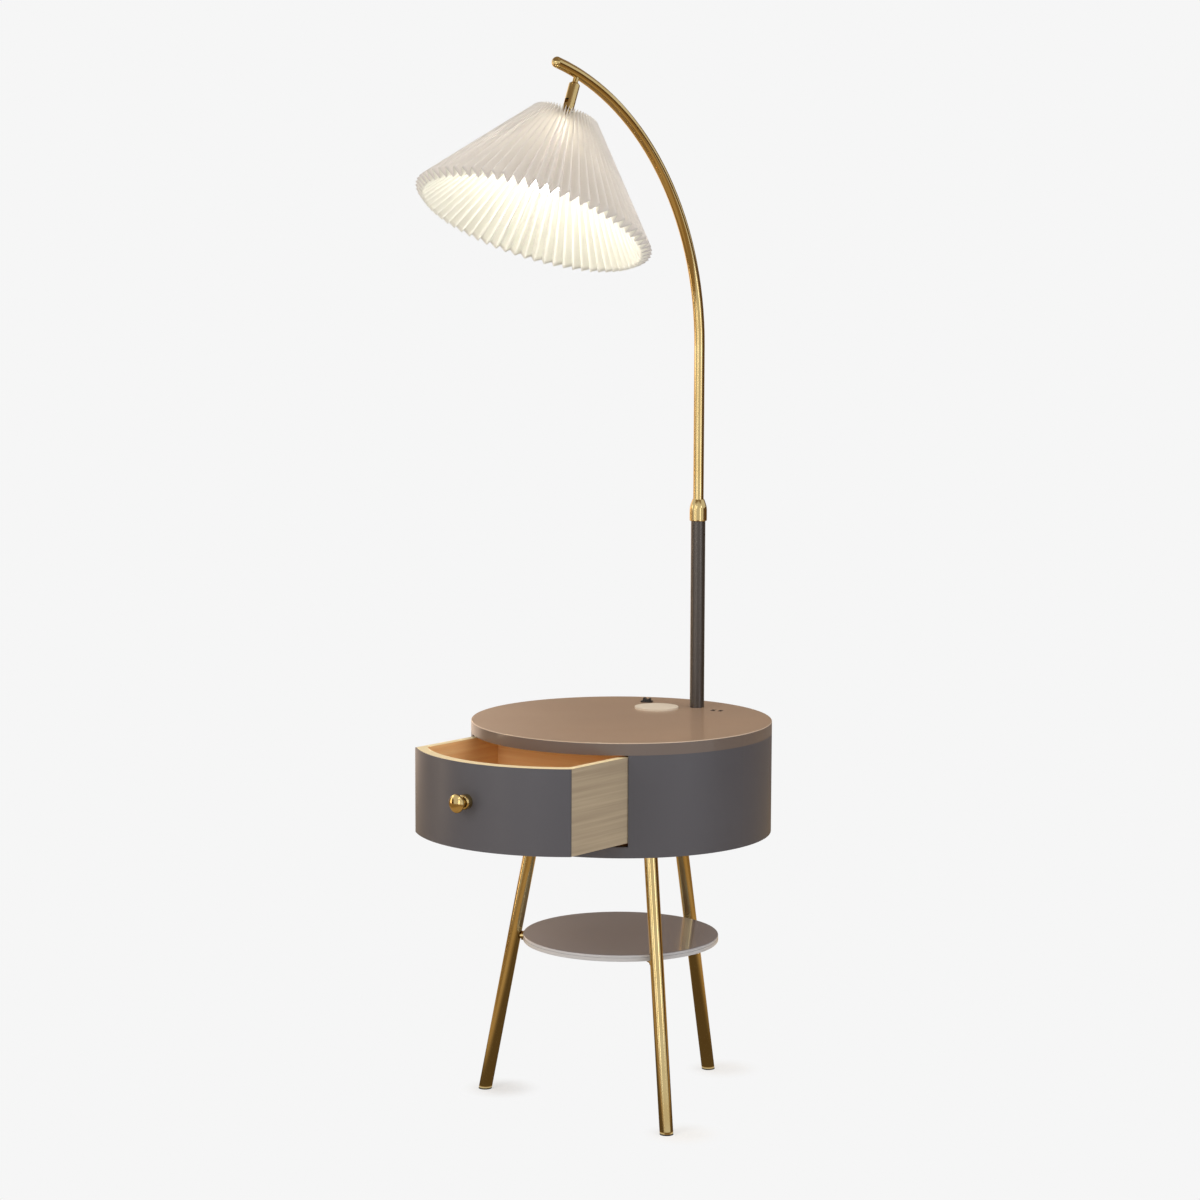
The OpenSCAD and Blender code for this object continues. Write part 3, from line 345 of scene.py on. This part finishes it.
# Boards inside the drum
# Rotary-cut plywood and beech dowels, clear lacquered. The eye gets long soft bands, finer lines of
# late wood in them and short dark pores.
BAND_MM, LINE_MM, GRAIN_LONG_MM = 5.72, 1.3, 300.0
PORE_MM, PORE_LONG_MM, PORE_DEPTH_MM = 0.5, 30.0, 0.03
LINE_SHARE, PORE_SHARE = 0.45, 0.18
WOOD_LIGHT, WOOD_DARK, PORE_BROWN = "#c9a06a", "#9a6c3c", "#7a5531"


def grain_sizes(along, width, length):
    """A feature's size along X, Y and Z, long in the grain's direction."""
    return [length if axis == along else width for axis in "XYZ"]


def clear_wood(tree, shader, along, light, dark):
    """Clear lacquered wood with bands, lines and pores that run along one axis."""
    bands = noise(tree, grain_sizes(along, BAND_MM, GRAIN_LONG_MM), detail=4)
    lines = noise(tree, grain_sizes(along, LINE_MM, GRAIN_LONG_MM), detail=3, rough=0.6)
    pores = noise(tree, grain_sizes(along, PORE_MM, PORE_LONG_MM), detail=1)
    early = mixed(tree, ranged(tree, bands, 0.35, 0.65), light, dark)
    late = mixed(tree, ranged(tree, lines, 0.55, 0.75, 0.0, LINE_SHARE), early, dark)
    colour = mixed(tree, ranged(tree, pores, 0.62, 0.8, 0.0, PORE_SHARE), late, PORE_BROWN)
    put(tree, shader, Base_Color=colour, Roughness=ranged(tree, lines, 0.3, 0.7, 0.42, 0.55),
        Coat_Weight=0.15, Coat_Roughness=0.3, Normal=bump(tree, pores, PORE_DEPTH_MM, 0.4))


for title, along, parts in (
        ("clear lacquered ply, bay sides and floor", "Y", ["bay_side_left", "bay_side_right", "drum_floor"]),
        ("clear lacquered ply, bay back", "X", ["bay_back"]),
        ("clear lacquered dowel", "Z", ["top_dowels"])):
    tree, shader = finish(title, parts)
    clear_wood(tree, shader, along, WOOD_LIGHT, WOOD_DARK)


# Drawer
# A box of pale plywood with a bent front, glued and clear lacquered. The eye gets amber inside the
# box, which is warm lamp light painted into the wood, a paler and greyer wood on the sides' outer
# faces and at the front's ends, and a cream top edge, partly the pale cut ply and partly a painted
# highlight.
INSIDE_LAMPLIT_WOOD, INSIDE_LAMPLIT_GRAIN = "#fdd69e", "#f4c68c"
SIDE_LIGHT, SIDE_DARK = "#b5a58c", "#a0907a"
EDGE_CUT_AND_HIGHLIGHT = "#f5e2b4"
FACE_SKIN = 0.0004
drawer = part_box("drawer_front")
half_width = drawer[1][0]


def drawer_wood(tree, shader, along):
    """Clear wood with painted warm lamp light inside the box, paler wood outside, and a cream top edge that
    is cut ply and painted highlight.
    """
    sideways = add(tree, "ShaderNodeMath", {0: object_axis(tree, "X")}, operation="ABSOLUTE").outputs[0]
    outside = ranged(tree, sideways, half_width - FACE_SKIN, half_width - FACE_SKIN / 2)
    clear_wood(tree, shader, along,
               mixed(tree, outside, INSIDE_LAMPLIT_WOOD, SIDE_LIGHT), mixed(tree, outside, INSIDE_LAMPLIT_GRAIN, SIDE_DARK))
    grain = shader.inputs["Base Color"].links[0].from_socket
    # Painted highlight, together with the pale cut ply: the edges that look up turn cream.
    put(tree, shader, Base_Color=mixed(tree, upward(tree, 0.6, 0.8), grain, EDGE_CUT_AND_HIGHLIGHT))


# Painted lamp light: the boards inside the box get the amber that stands in for the lamp's warm light.
tree, shader = finish("clear lacquered ply, drawer back and bottom", ["drawer_back", "drawer_bottom"])
clear_wood(tree, shader, "X", INSIDE_LAMPLIT_WOOD, INSIDE_LAMPLIT_GRAIN)
tree, shader = finish("clear lacquered ply, drawer side", ["drawer_side_left", "drawer_side_right"])
drawer_wood(tree, shader, "Y")
tree, shader = finish("clear lacquered ply, bent front", ["drawer_front"])
drawer_wood(tree, shader, "Y")


# Legs, arc tube and turned parts
# Steel tube and turned parts, brass plated, polished and lacquered. The eye gets long pale streaks
# with clear edges, and slow changes in gloss and depth of colour where the plating is thinner.
BRASS, BRASS_DEEP = "#cab685", "#c1a872"
THIN_PLATING_MM = 60
POLISH_LOW, POLISH_HIGH = 0.1, 0.14
TUBES = ["leg_back", "leg_front_left", "leg_front_right", "arc_tube"]
TURNED = [
    "arc_end_cap", "stem_fork", "pivot_pin", "knuckle_eye", "holder_cap", "clamp_nut", "knob", "shelf_pins"]

for title, parts in (
        ("plated brass tube, polished", TUBES),
        ("plated brass, turned and polished", TURNED)):
    tree, shader = finish(title, parts)
    wear = ranged(tree, noise(tree, [THIN_PLATING_MM] * 3), 0.3, 0.7)
    put(tree, shader, Metallic=1.0, Base_Color=mixed(tree, wear, BRASS, BRASS_DEEP),
        Roughness=ranged(tree, wear, 0, 1, POLISH_LOW, POLISH_HIGH))


# Feet and grommet
# Plugs pushed into the tubes' ends and a grommet in the floor board, moulded in black rubber. The
# eye gets a matt near black, with the greyish bloom that rubber gets with age.
RUBBER, BLOOM = "#26211c", "#332c26"
BLOOM_MM = 6
tree, shader = finish("moulded rubber, black", [
    "foot_back", "foot_front_left", "foot_front_right", "cable_grommet"])
bloom = noise(tree, [BLOOM_MM] * 3, detail=4)
put(tree, shader, Base_Color=mixed(tree, bloom, RUBBER, BLOOM), Roughness=0.75,
    Normal=bump(tree, bloom, 0.05))


# Shelf
# A round board on three pins, lacquered in grey and then flow coated in clear gloss. The eye gets a
# clear mirror of the leg behind it, over a soft grey, and a pale edge.
SHELF_TOP, SHELF_SHADE, SHELF_EDGE = "#919099", "#878690", "#c6c7cb"
SHELF_CLOUD_MM = 150
tree, shader = finish("deep gloss lacquer, grey", ["shelf"])
cloud = mixed(tree, noise(tree, [SHELF_CLOUD_MM] * 3), SHELF_SHADE, SHELF_TOP)
put(tree, shader,
    Base_Color=mixed(tree, upward(tree, 0.5, 0.9), SHELF_EDGE, cloud),
    Roughness=0.3, Coat_Weight=0.6, Coat_Roughness=0.03,
    Normal=bump(tree, noise(tree, [PEEL_MM * 3] * 3), 0.004))


# Dark tube
# The pole's fixed lower tube with its socket, and the plates that hold the legs: steel under a satin
# powder coat in dark bronze. The eye gets a soft narrow highlight with a very fine grain, which is
# drawn about twice as coarse as the real one so that it shows.
BRONZE_DARK, BRONZE_LIGHT = "#4b4643", "#57514d"
POWDER_MM = 0.9
tree, shader = finish("satin powder coat, dark bronze", [
    "sleeve_tube", "pole_socket", "leg_plate_back", "leg_plate_front_left", "leg_plate_front_right"])
powder = noise(tree, [POWDER_MM] * 3)
put(tree, shader, Base_Color=mixed(tree, powder, BRONZE_DARK, BRONZE_LIGHT), Metallic=0.6,
    Roughness=ranged(tree, powder, 0.3, 0.7, 0.22, 0.28), Normal=bump(tree, powder, 0.01))


# Runners, screws and nuts
# Rolled or stamped steel, zinc plated: the drawer's runners and rails, the screws, the holder's nut
# and the bulb's cap. The eye gets a cool pale metal with faint drawing lines.
ZINC_DARK, ZINC_LIGHT = "#a9a9ac", "#c4c4c6"
DRAWN_MM, DRAWN_LONG_MM = 0.6, 40
tree, shader = finish("zinc plated steel", [
    "runner_left", "runner_right", "drawer_rail_left", "drawer_rail_right", "runner_screws", "leg_screws",
    "socket_screws", "knob_screw", "holder_nut", "bulb_base"])
rolled = noise(tree, grain_sizes("Y", DRAWN_MM, DRAWN_LONG_MM))
put(tree, shader, Base_Color=mixed(tree, rolled, ZINC_DARK, ZINC_LIGHT), Metallic=1.0,
    Roughness=ranged(tree, rolled, 0.3, 0.7, 0.3, 0.42), Normal=bump(tree, rolled, 0.003))


# Fittings in the top
# The charging pad and the lamp's holder are moulded in ivory ABS, and the ports, the switch and the
# hidden sleeves in black. The eye gets a low plastic sheen over the mould's spark-eroded grain, drawn
# coarser than the real one so that it shows. The pad's winding is enamelled copper.
IVORY_DARK, IVORY_LIGHT = "#e3d5c1", "#ebdfcd"
BLACK_DARK, BLACK_LIGHT = "#161413", "#211e1c"
COPPER_DARK, COPPER_LIGHT = "#a85f2e", "#c47a45"
IVORY_CLOUD_MM, IVORY_SPARK_MM, BLACK_SPARK_MM = 30, 0.8, 0.7
WIRE_MM, WIRE_LONG_MM = 0.8, 8
tree, shader = finish("moulded ABS, ivory", ["charger_housing", "charger_pad", "lamp_holder"])
spark = noise(tree, [IVORY_SPARK_MM] * 3)
ivory = mixed(tree, noise(tree, [IVORY_CLOUD_MM] * 3), IVORY_DARK, IVORY_LIGHT)
put(tree, shader, Base_Color=ivory, Roughness=0.38, Normal=bump(tree, spark, 0.006))
tree, shader = finish("moulded ABS, black", [
    "port_block", "port_tongues", "switch_bezel", "switch_rocker", "power_supply", "clamp_collet",
    "guide_bush"])
spark = noise(tree, [BLACK_SPARK_MM] * 3)
put(tree, shader, Base_Color=mixed(tree, spark, BLACK_DARK, BLACK_LIGHT), Roughness=0.33,
    Normal=bump(tree, spark, 0.01))
tree, shader = finish("enamelled copper wire", ["charger_coil"])
turns = noise(tree, grain_sizes("Z", WIRE_MM, WIRE_LONG_MM))
put(tree, shader, Base_Color=mixed(tree, turns, COPPER_DARK, COPPER_LIGHT), Metallic=0.9, Roughness=0.35,
    Normal=bump(tree, turns, 0.05))


# Shade carrier
# Ring, spokes and nut, moulded in milky polypropylene. The eye gets a white that glows when the
# bulb is lit, because more than half of the light goes through.
MILK, MILK_PALE, MILK_GLOW = "#f4f1ea", "#fbf9f4", "#fbf8f0"
MILK_SHARE, MILK_CLOUD_MM = 0.6, 12


def let_through(tree, shader, glow, share):
    """Mixes a shader with the light that comes through from behind, and gives that to the surface."""
    behind = add(tree, "ShaderNodeBsdfTranslucent", {"Color": linear(glow)})
    both = add(tree, "ShaderNodeMixShader", {0: share, 1: shader.outputs[0], 2: behind.outputs[0]})
    tree.links.new(both.outputs[0], tree.nodes["Material Output"].inputs["Surface"])


tree, shader = finish("moulded polypropylene, milky", ["shade_carrier", "shade_nut"])
put(tree, shader, Base_Color=mixed(tree, noise(tree, [MILK_CLOUD_MM] * 3), MILK, MILK_PALE),
    Roughness=0.45, Normal=bump(tree, noise(tree, [IVORY_SPARK_MM] * 3), 0.006))
let_through(tree, shader, MILK_GLOW, MILK_SHARE)


# Bulb
# A blown globe of opal glass, evenly lit from inside. The eye gets a plain warm white disc, with
# hardly seen swirls in the glass.
GLOW, SWIRL, GLOW_STRENGTH = "#fcfbf6", "#fffdf8", 35.0
SWIRL_MM = 20
bulb_glass, tree = blank_material("opal glass, lit")
glow = add(tree, "ShaderNodeEmission", {
    "Color": mixed(tree, noise(tree, [SWIRL_MM] * 3), GLOW, SWIRL), "Strength": GLOW_STRENGTH})
add(tree, "ShaderNodeOutputMaterial", {"Surface": glow.outputs[0]})
nodes["bulb_globe"].data.materials.clear()
nodes["bulb_globe"].data.materials.append(bulb_glass)


# Pleated shade
# Cotton laminated to a thin film, folded hot into knife-sharp pleats and drawn together at the top.
# Each panel keeps its width, so the inner folds lie deeper at the crown and end in a zigzag at the rim.
PLEATS = 68
CROWN_RADIUS, RIM_RADIUS = 0.0487, 0.1754
SHADE_HEIGHT, CROWN_DROP = 0.161, 0.0176
PANEL_WIDTH = 0.01765
CLOTH_THICKNESS = 0.0007
FOLD_STEPS, ROWS = 6, 36
FOLD_SHARPNESS = 0.985
PLEAT_WANDER = 0.05
SHADE_LEAN = math.radians(24.2)

tilt = joints["shade_tilt"]
pivot = Vector(tilt["pos_m"])
pin = Vector(tilt["axis"]).normalized()
down = Matrix.Rotation(SHADE_LEAN, 3, pin) @ Vector((0, 0, -1))
side = down.cross(pin).normalized()
slant = math.hypot(RIM_RADIUS - CROWN_RADIUS, SHADE_HEIGHT)
slant_out, slant_down = (RIM_RADIUS - CROWN_RADIUS) / slant, SHADE_HEIGHT / slant


def fold_depth(share):
    """How deep the inner fold lies across the slant, at a share of the way from crown to rim."""
    ridge_radius = CROWN_RADIUS + (RIM_RADIUS - CROWN_RADIUS) * share
    return math.sqrt(PANEL_WIDTH ** 2 - (math.pi * ridge_radius / PLEATS) ** 2)


def fold_wave(phase):
    """0 on an outer fold, 1 on an inner fold, straight between, with slightly rounded tips."""
    wave = math.asin(FOLD_SHARPNESS * math.cos(math.pi * phase)) / math.asin(FOLD_SHARPNESS)
    return (1 - wave) / 2


random.seed(7)
wander = [random.uniform(-PLEAT_WANDER, PLEAT_WANDER) for _ in range(PLEATS)]
columns = 2 * PLEATS * FOLD_STEPS
shade_mesh = bmesh.new()
rows = []
for row in range(ROWS + 1):
    share = row / ROWS
    ring = []
    for column in range(columns):
        pleat = column / (2 * FOLD_STEPS)
        phase = column / FOLD_STEPS
        drift = wander[int(pleat) % PLEATS] * math.sin(math.pi * share)
        drift *= math.sin(2 * math.pi * (pleat % 1)) ** 2
        inward = fold_wave(phase) * fold_depth(share)
        radius = CROWN_RADIUS + (RIM_RADIUS - CROWN_RADIUS) * share - inward * slant_down
        drop = CROWN_DROP + SHADE_HEIGHT * share + inward * slant_out
        angle = 2 * math.pi * (pleat + drift) / PLEATS
        ring.append(shade_mesh.verts.new(
            pivot + down * drop + (pin * math.cos(angle) + side * math.sin(angle)) * radius))
    rows.append(ring)
for upper, lower in zip(rows, rows[1:]):
    for column in range(columns):
        following = (column + 1) % columns
        shade_mesh.faces.new((upper[column], upper[following], lower[following], lower[column]))
bmesh.ops.recalc_face_normals(shade_mesh, faces=shade_mesh.faces)
data = bpy.data.meshes.new("pleated_cloth")
shade_mesh.to_mesh(data)
shade_mesh.free()
data.shade_smooth()
shade = bpy.data.objects.new("pleated_cloth", data)
scene.collection.objects.link(shade)
thick = shade.modifiers.new("cloth thickness", "SOLIDIFY")
thick.thickness = CLOTH_THICKNESS
thick.offset = -1

# The cotton is a matt off-white, drawn with a thread coarser than its own so that it shows. The film
# inside is whiter and warmer. Both let a third of the light through, and more near the crown, where
# the cotton is also painted paler as painted light on the crowded folds.
THREAD_MM, SLUB_MM, SLUB_LONG_MM = 0.9, 3, 14
FILM_RIPPLE_MM, FILM_CLOUD_MM = 6.0, 40
RELIEF_DEPTH_MM = 0.03
COTTON, COTTON_SHADE, COTTON_PAINTED_CROWN_LIGHT = "#dfdad9", "#d7d2d0", "#f7f3f0"
FILM, FILM_PALE = "#f9f9ec", "#fafaf0"
THROUGH = "#f7f4f1"
COTTON_SHARE, FILM_SHARE, CROWN_SHARE = 0.34, 0.35, 0.5
CROWN_REACH, PALE_REACH = 0.05, 0.13


def near_crown(tree):
    """1 at the crown, where the folds crowd together, and 0 from nearly halfway down."""
    where = add(tree, "ShaderNodeTexCoord").outputs["Object"]
    away = add(tree, "ShaderNodeVectorMath", {0: where, 1: pivot}, operation="DISTANCE").outputs["Value"]
    return ranged(tree, away, CROWN_REACH, PALE_REACH, 1.0, 0.0, "SMOOTHSTEP")


def laminate(name, colour, texture_mm, share):
    """A thin matt sheet that lets a share of the light through, and more of it near the crown."""
    tree, shader = finish(name, [])
    put(tree, shader, Base_Color=colour(tree), Roughness=0.85,
        Normal=bump(tree, noise(tree, [texture_mm] * 3, detail=1), RELIEF_DEPTH_MM))
    let_through(tree, shader, THROUGH, ranged(tree, near_crown(tree), 0, 1, share, CROWN_SHARE))
    data.materials.append(bpy.data.materials[name])


def cotton_colour(tree):
    """Off-white with faint slubs in the thread, painted paler near the crown as painted light on the crowded
    folds.
    """
    slubs = mixed(tree, noise(tree, grain_sizes("Z", SLUB_MM, SLUB_LONG_MM)), COTTON_SHADE, COTTON)
    return mixed(tree, near_crown(tree), slubs, COTTON_PAINTED_CROWN_LIGHT)


def film_colour(tree):
    """White with a hardly seen cloudiness."""
    return mixed(tree, noise(tree, [FILM_CLOUD_MM] * 3), FILM, FILM_PALE)


# The modifier gives the inner skin the second material
laminate("pleated cotton, off-white", cotton_colour, THREAD_MM, COTTON_SHARE)
laminate("white film lining", film_colour, FILM_RIPPLE_MM, FILM_SHARE)
thick.material_offset = 1
thick.material_offset_rim = 0
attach(shade, "head")
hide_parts("pleated_shade")
